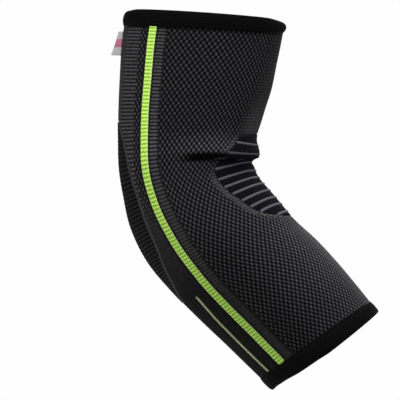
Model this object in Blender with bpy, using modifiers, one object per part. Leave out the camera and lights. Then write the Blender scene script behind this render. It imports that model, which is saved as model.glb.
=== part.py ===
"""Knitted compression elbow sleeve, shaped as it is worn on an arm bent by 49.5 degrees.

Metres, +Z along the upper arm, +X to the crook of the elbow, -Y to the outer side of the arm.
The origin is the elbow's pivot. Lengths named in mm below are turned to metres by MM.
"""

import math

import bmesh
import bpy
import numpy as np
from mathutils import Vector

MM = 0.001

# The sleeve's side outline from the upper rim to the forearm rim, in mm:
# front (x, z), back (x, z) and half of the depth across the arm.
STATIONS = (
    ((53.8, 116.0), (-52.5, 107.0), 47.5),
    ((52.9, 93.0), (-52.3, 85.0), 47.0),
    ((51.2, 72.0), (-50.2, 62.0), 46.5),
    ((48.3, 53.0), (-47.6, 39.0), 45.5),
    ((46.4, 37.0), (-44.6, 20.0), 44.5),
    ((45.6, 27.0), (-41.2, 1.5), 44.0),
    ((45.0, 18.9), (-35.6, -16.2), 43.5),
    ((52.0, 9.5), (-27.3, -37.0), 43.5),
    ((64.0, -0.8), (-13.0, -57.5), 43.5),
    ((79.3, -14.0), (6.0, -74.5), 43.0),
    ((96.5, -25.5), (27.0, -90.2), 42.5),
    ((112.2, -37.9), (46.5, -103.7), 41.5),
    ((128.0, -51.7), (65.5, -117.2), 40.5),
    ((144.9, -67.2), (84.8, -130.9), 40.0),
)
STEPS_PER_STATION = 20

# The knit.
KNIT_THICKNESS = 1.8
KNIT_EDGE = 5.0  # from the rim, inside the cuff's fold
KNIT_COLUMNS = 36
KNIT_ROWS = 30
GAP = 0.3

# The cuffs: a folded band over each end, with an elastic inside the fold and a row of stitches.
CUFF_HEIGHT = 12.0
CUFF_THICKNESS = 1.0
CUFF_COLUMNS = 40
ELASTIC_FROM, ELASTIC_TO = 1.5, 4.5
ELASTIC_THICKNESS = 1.2
STITCH_FROM_RIM = 10.0
FOLD_SHARP_ANGLE = 40.0
THREAD_RADIUS = 0.35

# The knit's zones, as seen from the side and turned about the pivot, in degrees from +X.
# The forearm turns by -49.5 to +65 degrees, so the front and back gaps are wider than that.
UPPER_FRONT, UPPER_BACK = 56.0, 180.0
FOREARM_BACK, FOREARM_FRONT = 236.0, 344.0
SIDE_RADIUS = 20.0
SIDE_STEP = 15.0
ZONE_REACH = 240.0
ZONE_STEP = 12.0
SEAM_ANGLE = 0.6
CUTTER_REACH = 100.0  # to both sides of the arm

# Half widths of the two ribbed panels, in degrees around the sleeve from the front or back line,
# against the length along the sleeve from the upper rim, in mm.
CROOK_PANEL = (
    (82, 20),
    (85, 31),
    (90, 39),
    (94, 46),
    (97, 54),
    (104, 62),
    (111, 65),
    (118, 64),
    (129, 60),
    (136, 56),
    (149, 51),
    (156, 44),
    (161, 34),
    (168, 15),
)
BACK_PANEL = (
    (72, 8),
    (80, 17),
    (89, 25),
    (97, 30),
    (108, 35),
    (117, 39),
    (127, 40.5),
    (144, 40),
    (154, 33),
    (170, 23),
    (181, 8),
)
PANEL_GAP = 0.6
PANEL_STEP = 2.0
PANEL_BEYOND = 20.0  # how far outside the sleeve a panel's cutter reaches

# The crook panel's ribs: each one's length along the sleeve at its ends and where it crosses the
# front line, and how many degrees to each side of that line its rise takes.
CROOK_RIBS = (
    (88.8, 91.7, 33.0),
    (95.3, 103.5, 33.0),
    (109.5, 111.7, 22.0),
    (117.8, 120.5, 22.0),
    (125.0, 127.5, 22.0),
    (132.1, 134.5, 22.0),
    (139.8, 142.0, 22.0),
    (147.0, 149.7, 22.0),
    (153.5, 156.2, 22.0),
    (161.8, 163.4, 22.0),
)
RIB_WIDTH = 1.6
RIB_LIFT = 0.7
RIB_MARGIN = 3.0
RIB_COLUMNS = 21

# The lime stripes, in degrees around from the back line against the length along the sleeve.
STRIPE = (
    (0, 50.5),
    (48, 51),
    (99, 52),
    (114, 55),
    (131, 57.5),
    (158, 57.5),
    (172, 56.5),
    (191, 53.5),
    (262, 52),
)
STRIPE_WIDTH = 5.9
STRIPE_STOPS = (101.5, 124.5)
ACCENT = ((181, 36.3), (210, 34), (250, 32))
ACCENT_WIDTH = 2.5
ACCENT_FROM = 181.0
BORDER_WIDTH = 1.4
BORDER_STOPS = (86.5, 141.0)
TRIM_LIFT, TRIM_THICKNESS = 0.35, 0.6
TRIM_STEP = 6.0

# The back seam and the blank label sewn into it.
SEAM_BACK_ANGLE = 17.0
SEAM_END = 70.0
SEAM_WIDTH = 1.8
TAG_TOP, TAG_HEIGHT, TAG_REACH = 15.5, 16.0, 10.0
TAG_BACK_ANGLE = 12.5
TAG_LIFT, TAG_THICKNESS = 1.2, 0.6
TAG_OPEN_ANGLE = 25.0
TAG_STITCH_LENGTH, TAG_STITCH_TURN = 14.0, 2.2

BLACK = (0.012, 0.012, 0.013)
DARK_GREY = (0.035, 0.035, 0.038)
KNIT_GREY = (0.045, 0.045, 0.048)
LIGHT_GREY = (0.25, 0.25, 0.26)
LIME = (0.42, 0.72, 0.10)
PALE_LIME = (0.45, 0.50, 0.18)
LABEL_GREY = (0.52, 0.52, 0.53)


def clear_scene():
    for old in list(bpy.data.objects):
        bpy.data.objects.remove(old, do_unlink=True)


def new_collection(name):
    collection = bpy.data.collections.new(name)
    bpy.context.scene.collection.children.link(collection)
    return collection


def new_material(name, color, roughness):
    material = bpy.data.materials.new(name)
    material.use_nodes = True
    shader = material.node_tree.nodes["Principled BSDF"]
    shader.inputs["Base Color"].default_value = (*color, 1.0)
    shader.inputs["Roughness"].default_value = roughness
    shader.inputs["Metallic"].default_value = 0.0
    return material


# The sleeve's surface


def catmull_rom(before, start, end, after, part):
    """The point at this part of the way from start to end, on a smooth curve through all four."""
    return 0.5 * (
        2 * start
        + (end - before) * part
        + (2 * before - 5 * start + 4 * end - after) * part**2
        + (3 * start - before - 3 * end + after) * part**3
    )


def smooth_sections():
    """Rows of (front x, z, back x, z, half depth) through the stations, and each row's length along the sleeve."""
    rows = [np.array([*front, *back, depth]) for front, back, depth in STATIONS]
    rows.insert(0, 2 * rows[0] - rows[1])
    rows.append(2 * rows[-1] - rows[-2])
    sections = []
    for i in range(1, len(rows) - 2):
        for step in range(STEPS_PER_STATION):
            part = step / STEPS_PER_STATION
            sections.append(catmull_rom(rows[i - 1], rows[i], rows[i + 1], rows[i + 2], part))
    sections.append(rows[-2])
    sections = np.array(sections)
    centres = (sections[:, 0:2] + sections[:, 2:4]) / 2
    steps = np.linalg.norm(np.diff(centres, axis=0), axis=1)
    return sections, np.concatenate([[0.0], np.cumsum(steps)])


SECTIONS, LENGTHS = smooth_sections()
SLEEVE_LENGTH = float(LENGTHS[-1])


def section_at(along):
    """Centre, direction across from back to front, half width and half depth, this far along the sleeve in mm."""
    front_x, front_z, back_x, back_z, half_depth = [
        float(np.interp(along, LENGTHS, column)) for column in SECTIONS.T
    ]
    front = Vector((front_x, 0.0, front_z))
    back = Vector((back_x, 0.0, back_z))
    across = front - back
    return (front + back) / 2, across.normalized(), across.length / 2, half_depth


def skin_point(along, degrees, lift=0.0):
    """A point this far along, this far round from the front line, and lifted off the knit's outer face."""
    centre, across, half_width, half_depth = section_at(along)
    angle = math.radians(degrees)
    sideways = Vector((0.0, 1.0, 0.0))
    point = centre + across * ((half_width + lift) * math.cos(angle))
    return (point + sideways * ((half_depth + lift) * math.sin(angle))) * MM


def degrees_for(width, along):
    """The angle that a width on the skin takes up, in degrees."""
    _, _, half_width, half_depth = section_at(along)
    return math.degrees(2 * width / (half_width + half_depth))


def value_at(table, along):
    places, values = zip(*table)
    return float(np.interp(along, places, values))


# Objects


def mesh_object(name, mesh, material, collection):
    obj = bpy.data.objects.new(name, mesh)
    if material:
        mesh.materials.append(material)
    collection.objects.link(obj)
    return obj


def grid_mesh(name, rows, closed_round):
    """A loft through rows of points. Closed round joins each row's end to its start."""
    grid = bmesh.new()
    verts = [[grid.verts.new(point) for point in row] for row in rows]
    columns = len(rows[0])
    spans = columns if closed_round else columns - 1
    for above, below in zip(verts, verts[1:]):
        for i in range(spans):
            j = (i + 1) % columns
            grid.faces.new((above[i], below[i], below[j], above[j]))
    mesh = bpy.data.meshes.new(name)
    grid.to_mesh(mesh)
    grid.free()
    mesh.shade_smooth()
    return mesh


def add_thickness(obj, thickness, outward):
    solidify = obj.modifiers.new("Thickness", "SOLIDIFY")
    solidify.thickness = thickness * MM
    solidify.offset = 1.0 if outward else -1.0
    solidify.use_even_offset = True


def add_cut(obj, cutter, operation):
    cut = obj.modifiers.new(cutter.name, "BOOLEAN")
    cut.operation = operation
    cut.solver = "EXACT"
    cut.object = cutter


def ring_rows(places, columns):
    """Rows right round the sleeve, one for each (along, lift)."""
    turns = [360.0 * i / columns for i in range(columns)]
    return [[skin_point(along, turn, lift) for turn in turns] for along, lift in places]


def knit_tube(name, material, collection):
    """The whole knitted tube, which each zone is then cut from."""
    places = [(along, 0.0) for along in np.linspace(KNIT_EDGE, SLEEVE_LENGTH - KNIT_EDGE, KNIT_ROWS)]
    mesh = grid_mesh(name, ring_rows(places, KNIT_COLUMNS), closed_round=True)
    tube = mesh_object(name, mesh, material, collection)
    add_thickness(tube, KNIT_THICKNESS, outward=False)
    return tube


def strip(name, path, width, side, material, collection):
    """A raised strip over the knit, along a path of (along, degrees from the front line)."""
    rows = []
    for along, degrees in path:
        half = degrees_for(width, along) / 2
        edges = sorted((side * (degrees - half), side * (degrees + half)))
        rows.append([skin_point(along, edge, TRIM_LIFT) for edge in edges])
    obj = mesh_object(name, grid_mesh(name, rows, closed_round=False), material, collection)
    add_thickness(obj, TRIM_THICKNESS, outward=True)
    return obj


def lengths_between(start, end, step=TRIM_STEP):
    count = max(2, round((end - start) / step) + 1)
    return [float(along) for along in np.linspace(start, end, count)]


# Cutters: prisms across the arm


def arc(radius, start, end, step):
    count = max(2, round(abs(end - start) / step) + 1)
    turns = [math.radians(turn) for turn in np.linspace(start, end, count)]
    return [(radius * math.cos(turn), radius * math.sin(turn)) for turn in turns]


def prism(name, outline, collection, low=-CUTTER_REACH, high=CUTTER_REACH):
    """A cutter with this side outline of (x, z) in mm, from y = low to y = high."""
    block = bmesh.new()
    face = block.faces.new([block.verts.new(Vector((x, low, z)) * MM) for x, z in outline])
    made = bmesh.ops.extrude_face_region(block, geom=[face])
    moved = [item for item in made["geom"] if isinstance(item, bmesh.types.BMVert)]
    bmesh.ops.translate(block, verts=moved, vec=Vector((0.0, high - low, 0.0)) * MM)
    bmesh.ops.recalc_face_normals(block, faces=block.faces)
    mesh = bpy.data.meshes.new(name)
    block.to_mesh(mesh)
    block.free()
    cutter = mesh_object(name, mesh, None, collection)
    cutter.hide_render = True
    cutter.display_type = "WIRE"
    return cutter


def zone_outline(start, end):
    """The sector between two turns about the pivot, outside the round side piece."""
    inner = arc(SIDE_RADIUS, start, end, ZONE_STEP)
    return inner + arc(ZONE_REACH, end, start, ZONE_STEP)


def panel_outline(table, pole, grow):
    """A panel's side outline: its edge on the skin, closed round outside the sleeve."""
    start, end = table[0][0] - grow, table[-1][0] + grow
    turn = 1.0 if pole == 0.0 else -1.0
    edge, beyond = [], []
    for along in lengths_between(start, end, PANEL_STEP):
        half = value_at(table, along) + degrees_for(grow, along)
        edge.append(skin_point(along, pole + turn * half))
        beyond.append(skin_point(along, pole, PANEL_BEYOND))
    points = edge + beyond[::-1]
    return [(point.x / MM, point.z / MM) for point in points]


def make_cutters(collection):
    half_gap = SEAM_ANGLE / 2
    side = arc(SIDE_RADIUS - GAP, 0.0, 360.0 - SIDE_STEP, SIDE_STEP)
    back = zone_outline(UPPER_BACK + half_gap, FOREARM_BACK - half_gap)
    front = zone_outline(FOREARM_FRONT - 360.0 + half_gap, UPPER_FRONT - half_gap)
    return {
        "upper": prism("cut_upper", zone_outline(UPPER_FRONT + half_gap, UPPER_BACK - half_gap), collection),
        "forearm": prism("cut_forearm", zone_outline(FOREARM_BACK + half_gap, FOREARM_FRONT - half_gap), collection),
        "crook": prism("cut_crook", front, collection),
        "back": prism("cut_back", back, collection),
        "back_outer": prism("cut_back_outer", back, collection, high=0.0),
        "back_inner": prism("cut_back_inner", back, collection, low=0.0),
        "side_outer": prism("cut_side_outer", side, collection, high=0.0),
        "side_inner": prism("cut_side_inner", side, collection, low=0.0),
        "crook_panel": prism("cut_crook_panel", panel_outline(CROOK_PANEL, 0.0, 0.0), collection),
        "crook_panel_hole": prism("cut_crook_panel_hole", panel_outline(CROOK_PANEL, 0.0, PANEL_GAP), collection),
        "back_panel": prism("cut_back_panel", panel_outline(BACK_PANEL, 180.0, 0.0), collection),
        "back_panel_hole": prism("cut_back_panel_hole", panel_outline(BACK_PANEL, 180.0, PANEL_GAP), collection),
    }


# The pieces


def make_knit_zones(cutters, collection):
    """The seamless tube's zones: (name, what bounds it, what is left out of it, colour)."""
    knit = new_material("dotted_knit", KNIT_GREY, 0.9)
    ribbed = new_material("ribbed_knit", BLACK, 0.85)
    zones = (
        ("upper_arm_knit", ("upper",), ("back_panel_hole",), knit),
        ("forearm_knit", ("forearm",), ("back_panel_hole",), knit),
        ("crook_knit", ("crook",), ("crook_panel_hole",), knit),
        ("back_knit_outer", ("back_outer",), ("back_panel_hole",), knit),
        ("back_knit_inner", ("back_inner",), ("back_panel_hole",), knit),
        ("elbow_side_outer", ("side_outer",), (), knit),
        ("elbow_side_inner", ("side_inner",), (), knit),
        ("crook_rib_panel", ("crook_panel", "crook"), (), ribbed),
        ("back_panel_upper", ("back_panel", "upper"), (), ribbed),
        ("back_panel_elbow", ("back_panel", "back"), (), ribbed),
        ("back_panel_forearm", ("back_panel", "forearm"), (), ribbed),
    )
    for name, kept, left_out, material in zones:
        tube = knit_tube(name, material, collection)
        for cutter in kept:
            add_cut(tube, cutters[cutter], "INTERSECT")
        for cutter in left_out:
            add_cut(tube, cutters[cutter], "DIFFERENCE")


def cuff_places(profile, at_forearm):
    """A profile of (distance from the rim, lift), turned into places along the sleeve that face outward."""
    if not at_forearm:
        return profile
    return [(SLEEVE_LENGTH - distance, lift) for distance, lift in reversed(profile)]


def make_cuff(name, at_forearm, collection):
    cloth = new_material(f"{name}_cloth", BLACK, 0.8)
    inner_lift = -KNIT_THICKNESS - GAP
    fold = [
        (CUFF_HEIGHT, inner_lift),
        (CUFF_THICKNESS, inner_lift),
        (CUFF_THICKNESS, GAP),
        (CUFF_HEIGHT, GAP),
    ]
    rows = ring_rows(cuff_places(fold, at_forearm), CUFF_COLUMNS)
    binding = mesh_object(f"{name}_binding", grid_mesh(name, rows, closed_round=True), cloth, collection)
    add_thickness(binding, CUFF_THICKNESS, outward=True)
    binding.data.set_sharp_from_angle(angle=math.radians(FOLD_SHARP_ANGLE))

    rubber = new_material(f"{name}_rubber", LIGHT_GREY, 0.6)
    lift = -(KNIT_THICKNESS - ELASTIC_THICKNESS) / 2
    band = [(ELASTIC_FROM, lift), (ELASTIC_TO - GAP, lift)]
    rows = ring_rows(cuff_places(band, at_forearm), CUFF_COLUMNS)
    elastic = mesh_object(f"{name}_elastic", grid_mesh(name, rows, closed_round=True), rubber, collection)
    add_thickness(elastic, ELASTIC_THICKNESS, outward=False)

    thread = new_material(f"{name}_thread", DARK_GREY, 0.7)
    lift = GAP + CUFF_THICKNESS + GAP + THREAD_RADIUS
    (points,) = ring_rows(cuff_places([(STITCH_FROM_RIM, lift)], at_forearm), CUFF_COLUMNS)
    thread_curve(f"{name}_stitching", points, True, thread, collection)


def thread_curve(name, points, closed, material, collection):
    curve = bpy.data.curves.new(name, "CURVE")
    curve.dimensions = "3D"
    curve.bevel_depth = THREAD_RADIUS * MM
    curve.bevel_resolution = 1
    curve.use_fill_caps = not closed
    spline = curve.splines.new("POLY")
    spline.points.add(len(points) - 1)
    for place, point in zip(spline.points, points):
        place.co = (*point, 1.0)
    spline.use_cyclic_u = closed
    return mesh_object(name, curve, material, collection)


def make_stripes(side_name, side, collection):
    lime = new_material(f"lime_{side_name}", LIME, 0.75)
    first, last = CUFF_HEIGHT + 2 * GAP, SLEEVE_LENGTH - CUFF_HEIGHT - 2 * GAP
    stops = (first, *STRIPE_STOPS, last)
    for part, start, end in zip(("upper", "elbow", "forearm"), stops, stops[1:]):
        reach = lengths_between(start + GAP, end - GAP)
        path = [(along, 180.0 - value_at(STRIPE, along)) for along in reach]
        strip(f"{part}_stripe_{side_name}", path, STRIPE_WIDTH, side, lime, collection)

    pale = new_material(f"pale_lime_{side_name}", PALE_LIME, 0.75)
    path = [(along, 180.0 - value_at(ACCENT, along)) for along in lengths_between(ACCENT_FROM, last)]
    strip(f"forearm_accent_{side_name}", path, ACCENT_WIDTH, side, pale, collection)


def make_back_borders(side_name, side, collection):
    """The thin raised lines along the back panel's edges."""
    grey = new_material(f"border_{side_name}", LIGHT_GREY, 0.8)
    stops = (BACK_PANEL[0][0], *BORDER_STOPS, BACK_PANEL[-1][0])
    for part, start, end in zip(("upper", "elbow", "forearm"), stops, stops[1:]):
        reach = lengths_between(start + GAP, end - GAP)
        path = [(along, 180.0 - value_at(BACK_PANEL, along)) for along in reach]
        strip(f"back_border_{part}_{side_name}", path, BORDER_WIDTH, side, grey, collection)


def make_crook_ribs(collection):
    grey = new_material("crook_ribs", LIGHT_GREY, 0.8)
    for number, (at_ends, at_front, spread) in enumerate(CROOK_RIBS, start=1):
        half = value_at(CROOK_PANEL, at_ends) - degrees_for(RIB_MARGIN, at_ends)
        turns = [float(turn) for turn in np.linspace(-half, half, RIB_COLUMNS)]
        line = [at_ends + (at_front - at_ends) * math.exp(-((turn / spread) ** 2)) for turn in turns]
        rows = []
        for edge in (-RIB_WIDTH / 2, RIB_WIDTH / 2):
            rows.append([skin_point(along + edge, turn, RIB_LIFT) for along, turn in zip(line, turns)])
        name = f"crook_rib_{number:02d}"
        rib = mesh_object(name, grid_mesh(name, rows, closed_round=False), grey, collection)
        add_thickness(rib, TRIM_THICKNESS, outward=True)


def make_back_seam(collection):
    thread = new_material("seam_thread", DARK_GREY, 0.8)
    path = [(along, 180.0 - SEAM_BACK_ANGLE) for along in lengths_between(CUFF_HEIGHT + 2 * GAP, SEAM_END)]
    strip("upper_back_seam", path, SEAM_WIDTH, -1.0, thread, collection)


def make_label(collection):
    """A blank woven label. Its sewn edge is its joint's axis, so its origin lies there."""
    top = skin_point(TAG_TOP, TAG_BACK_ANGLE - 180.0, TAG_LIFT)
    bottom = skin_point(TAG_TOP + TAG_HEIGHT, TAG_BACK_ANGLE - 180.0, TAG_LIFT)
    one_degree_on = skin_point(TAG_TOP, TAG_BACK_ANGLE - 181.0, TAG_LIFT)
    outward = (top - skin_point(TAG_TOP, TAG_BACK_ANGLE - 180.0)).normalized()
    round_back = (one_degree_on - top).normalized()
    opened = math.radians(TAG_OPEN_ANGLE)
    reach = (round_back * math.cos(opened) + outward * math.sin(opened)) * TAG_REACH * MM
    middle = (top + bottom) / 2

    edges = [[top - middle, bottom - middle], [top - middle + reach, bottom - middle + reach]]
    cloth = new_material("label_cloth", LABEL_GREY, 0.7)
    mesh = grid_mesh("label_tag", edges, closed_round=False)
    label = mesh_object("label_tag", mesh, cloth, collection)
    label.location = middle
    add_thickness(label, TAG_THICKNESS, outward=True)

    thread = new_material("label_thread", LIGHT_GREY, 0.7)
    hem = (TAG_HEIGHT - TAG_STITCH_LENGTH) / 2
    places = lengths_between(TAG_TOP + hem, TAG_TOP + TAG_HEIGHT - hem)
    lift = GAP + THREAD_RADIUS
    points = [skin_point(along, TAG_BACK_ANGLE - 180.0 + TAG_STITCH_TURN, lift) for along in places]
    thread_curve("label_stitching", points, False, thread, collection)


def main():
    clear_scene()
    sleeve = new_collection("elbow_sleeve")
    cutters = make_cutters(new_collection("cutters"))
    make_knit_zones(cutters, sleeve)
    make_cuff("upper_cuff", False, sleeve)
    make_cuff("forearm_cuff", True, sleeve)
    for side_name, side in (("outer", -1.0), ("inner", 1.0)):
        make_stripes(side_name, side, sleeve)
        make_back_borders(side_name, side, sleeve)
    make_crook_ribs(sleeve)
    make_back_seam(sleeve)
    make_label(sleeve)


main()
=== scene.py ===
"""The looks of a knitted compression elbow sleeve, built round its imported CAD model.

Lengths are in mm and angles in degrees, except where a comment says metres. A place on the sleeve is given
by how far along it is from the upper rim, its angle round from the front line (minus on the outer side) and
its lift.
"""

import math
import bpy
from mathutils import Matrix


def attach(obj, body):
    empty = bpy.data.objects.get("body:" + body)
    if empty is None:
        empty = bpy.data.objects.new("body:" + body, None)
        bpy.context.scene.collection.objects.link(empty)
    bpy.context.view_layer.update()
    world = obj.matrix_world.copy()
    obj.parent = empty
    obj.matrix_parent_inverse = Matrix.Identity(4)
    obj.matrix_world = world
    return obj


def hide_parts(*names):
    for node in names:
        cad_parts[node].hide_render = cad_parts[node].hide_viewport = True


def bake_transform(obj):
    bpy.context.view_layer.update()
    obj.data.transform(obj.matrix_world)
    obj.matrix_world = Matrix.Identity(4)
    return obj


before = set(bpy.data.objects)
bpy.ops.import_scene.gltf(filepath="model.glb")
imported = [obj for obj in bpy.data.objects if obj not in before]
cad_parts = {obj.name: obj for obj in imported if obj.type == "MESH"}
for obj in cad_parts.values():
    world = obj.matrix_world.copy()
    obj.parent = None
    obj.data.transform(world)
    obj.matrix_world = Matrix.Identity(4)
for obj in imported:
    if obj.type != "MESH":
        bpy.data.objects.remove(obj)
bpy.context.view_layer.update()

from types import SimpleNamespace

import bpy
import numpy as np
from mathutils import Matrix

MM = 0.001

# The sleeve's side outline, from the upper rim on: front (x, z), back (x, z) and half its depth.
STATIONS = (
    ((53.8, 116.0), (-52.5, 107.0), 47.5),
    ((52.9, 93.0), (-52.3, 85.0), 47.0),
    ((51.2, 72.0), (-50.2, 62.0), 46.5),
    ((48.3, 53.0), (-47.6, 39.0), 45.5),
    ((46.4, 37.0), (-44.6, 20.0), 44.5),
    ((45.6, 27.0), (-41.2, 1.5), 44.0),
    ((45.0, 18.9), (-35.6, -16.2), 43.5),
    ((52.0, 9.5), (-27.3, -37.0), 43.5),
    ((64.0, -0.8), (-13.0, -57.5), 43.5),
    ((79.3, -14.0), (6.0, -74.5), 43.0),
    ((96.5, -25.5), (27.0, -90.2), 42.5),
    ((112.2, -37.9), (46.5, -103.7), 41.5),
    ((128.0, -51.7), (65.5, -117.2), 40.5),
    ((144.9, -67.2), (84.8, -130.9), 40.0),
)
STEPS_PER_STATION = 20

# The knit's stitches: 88 dots round, in rows that are offset by half a dot.
DOTS_ROUND = 88
HALF_DOT = 360.0 / (2 * DOTS_ROUND)
ROW = 2.25
DOT_HEIGHT, RIB_HEIGHT = 0.22, 0.12
KNIT_EDGE = 5.0  # how far inside the sleeve's ends the knit ends, under the cuffs
KNIT_THICKNESS = 1.8
UNDER_PANEL = -0.6  # the knit's lift below a panel

# The crease in the crook: length along the sleeve against degrees from the front. Then the heights of the
# lip above it and of the groove and roll below it, by degrees from the front, and of the front's swell, by
# length along the sleeve.
CREASE = (
    (0, 109.6),
    (20, 107.6),
    (30, 106),
    (40, 104),
    (50, 102),
    (60, 100.4),
    (70, 99),
    (80, 98.3),
    (96, 98),
)
LIP_HEIGHTS = ((0, 5.8), (20, 5.6), (40, 4.8), (60, 3.2), (80, 1.2), (96, 0))
GROOVE_DEPTHS = ((0, 0), (30, 0), (46, 1.6), (78, 2.0), (98, 0))
LOWER_ROLL = ((0, 1.1), (30, 0.9), (60, 0))
FRONT_SWELL = ((30, 0), (48, 0.9), (72, 0.9), (82, 0.2), (90, 0))

# Where these lie, in mm above the crease: the lip's start and its fading out, and the middle and width of
# the groove and the roll. The swell fades out by degrees from the front.
LIP_START, LIP_FADE = (-0.3, 1.6), (2.0, 28.0)
GROOVE_PLACE, ROLL_PLACE = (-0.6, 1.8), (-7.0, 5.5)
SWELL_FADE = (20.0, 60.0)

# Half widths of the two ribbed panels, in degrees from the front or back line.
CROOK_PANEL = (
    (82, 42.5),
    (83.5, 44),
    (88, 46.5),
    (92, 50),
    (95, 55),
    (104, 62),
    (111, 65),
    (118, 64),
    (129, 60),
    (136, 56),
    (149, 51),
    (156, 44),
    (161, 34),
    (168, 15),
)
BACK_PANEL = (
    (72, 9),
    (80, 19.5),
    (90, 28.5),
    (97, 31.8),
    (108, 36.5),
    (117, 39.8),
    (127, 41.2),
    (140, 40.2),
    (146, 38.6),
    (154, 33),
    (170, 23),
    (181, 8),
)

# The crook panel's rib lines: each one's length along the sleeve at its ends and where it crosses the
# front line, and how many degrees to each side of that line its rise takes.
CROOK_RIBS = (
    (88.6, 92.9, 90.0),
    (96.8, 103.9, 90.0),
    (109.2, 111.0, 22.0),
    (117.8, 120.5, 22.0),
    (125.0, 127.5, 22.0),
    (132.1, 134.5, 22.0),
    (139.8, 142.0, 22.0),
    (147.0, 149.7, 22.0),
    (153.5, 156.2, 22.0),
    (161.8, 163.4, 22.0),
)
DIM_RIB = 2  # the darker one
RIB_LINE_WIDTH, RIB_LINE_LIFT, RIB_LINE_HEIGHT = 2.4, 0.15, 0.75
RIB_LINE_INSET = 0.8  # degrees inside the panel's edge

# The panels' fine ribs: their pitch, and how far they lean along the sleeve for each mm round it. The lift of
# a panel's edge, how far it rises from there, and over what lengths its two ends are rounded.
CROOK_RIB_PITCH, CROOK_RIB_SLANT = 1.5, 0.0
BACK_RIB_PITCH, BACK_RIB_SLANT = 2.2, 0.05
PANEL_EDGE_LIFT, PANEL_RISE, PANEL_RIB_HEIGHT = -0.35, 0.7, 0.07
PANEL_START_ROUND, PANEL_END_ROUND = 2.5, 5.0

# Half widths of the thin lines, and their lifts at their edges and in their middle.
BORDER_HALF, BORDER_LIFTS = 1.1, (-0.1, 0.6)
ACCENT_HALF, ACCENT_LIFTS = 1.0, (-0.1, 0.55)

# The lime stripes and the pale line beside them, in degrees from the back line.
STRIPE = (
    (0, 51.4),
    (60, 51.5),
    (90, 52),
    (100, 52.6),
    (110, 54.5),
    (120, 56.6),
    (130, 58),
    (140, 58.3),
    (150, 57.9),
    (160, 57.2),
    (170, 56.2),
    (180, 55),
    (195, 54.1),
    (210, 53.6),
    (262, 53.3),
)
STRIPE_HALVES = ((0, 3.05), (100, 3.05), (125, 2.75), (150, 2.8), (180, 2.95), (262, 2.95))
STRIPE_TONES = ((0, 1.0), (90, 1.0), (102, 0.8), (118, 0.74), (150, 0.62), (190, 0.5))
STRIPE_FROM, STRIPE_TO = 11.5, 247.8
STRIPE_END_ROUND = 1.4
RUNG = 2.3  # from one rung of the ladder to the next
STRIPE_EDGE_LIFT, STRIPE_RISE, RUNG_RISE, STRIPE_DENT = -0.15, 0.5, 0.25, 0.3
ACCENT = ((181, 37.9), (190, 36.5), (200, 34.5), (220, 33), (230, 33), (250, 33.5))
ACCENT_SPAN = (181.0, 247.0)

# The knit's zones. In mm from the stripe's middle: the soft ends of the ribbed band in front of it and of the
# dotted one behind it. Along the sleeve: where the band turns into the forearm's, where the knit turns plain
# behind the stripe and softer in the band, and where the upper arm's front turns lighter toward the panel.
BAND_FRONT, BAND_BACK = (10.4, 11.2), (-10.6, -9.8)
OUTLINE_GAP, OUTLINE_WIDTH = 0.7, 0.7  # the dark lines beside the stripe
FOREARM_START = (165.0, 195.0)
PLAIN_BACK_START = (108.0, 138.0)
BAND_SOFTENS = (95.0, 120.0)
ABOVE_PANEL = (50.0, 75.0)

# The plain front: up to how many degrees from the front it goes on the upper arm, by length along the sleeve,
# over how many more the dots come in, and where it ends. Then the forearm's fading out, and where it begins.
UPPER_FRONT = ((15, 10), (30, 13), (50, 23), (75, 29), (90, 29))
UPPER_FRONT_FADE = 19.0
UPPER_FRONT_END = (82.0, 90.0)
FOREARM_FRONT_FADE, FOREARM_FRONT_START = (12.0, 30.0), (168.0, 185.0)

# The rows of stitches beside the crook panel: their width in mm from its edge, and their two spans along the
# sleeve. Each says where they begin, are full, begin to fade and end.
ROWS_WIDTH = (-0.5, 0.3, 3.0, 5.0)
UPPER_ROWS, LOWER_ROWS = (82.0, 85.0, 96.0, 100.0), (106.0, 122.0, 160.0, 168.0)

# Painted light on the forearm's dots: lighter on its upper front side, where the light falls, and darker
# toward its underside, by degrees from the front, and where that comes in.
FOREARM_PAINTED_LIGHT = (
    (0, 1.4),
    (6, 1.65),
    (12, 2.0),
    (26, 1.75),
    (42, 1.4),
    (60, 1.05),
    (78, 0.85),
    (96, 0.6),
    (180, 0.6),
)
FOREARM_PAINTED_LIGHT_START = (130.0, 178.0)

# Where the dots get lighter along the sleeve and darker again, their tone before that, and by how much.
DOTS_LIGHTEN, DOTS_DARKEN = (80.0, 110.0), (210.0, 240.0)
DOTS_TONE, DOTS_LIGHTER, DOTS_DARKER = 0.83, 0.2, 0.15

# How light the knit is along the sleeve, in the ribbed band in front of the stripe and behind the stripe.
BAND_TONES = ((0, 1.15), (50, 1.2), (80, 1.3), (100, 1.15), (115, 1.0), (150, 0.75), (172, 0.62), (195, 0.48))
BACK_TONES = ((0, 1.1), (100, 1.1), (115, 0.95), (124, 0.77), (131, 0.6), (143, 0.5), (167, 0.31), (180, 0.2))

# In mm above the crease: the painted highlight on the lip's ridge and the painted shadow in the crease under
# the lip.
LIP_HIGHLIGHT, FOLD_SHADOW = (3.0, 6.0, 10.0, 22.0), (-2.5, -0.5, 2.8, 5.0)
LIP_HIGHLIGHT_PLACE, FOLD_SHADOW_END = (68.0, 40.0), (82.0, 98.0)  # degrees from the front
# Painted shadow on the knit just below the upper cuff.
CUFF_SHADE = 2.6  # mm of darker knit below the upper cuff

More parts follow.
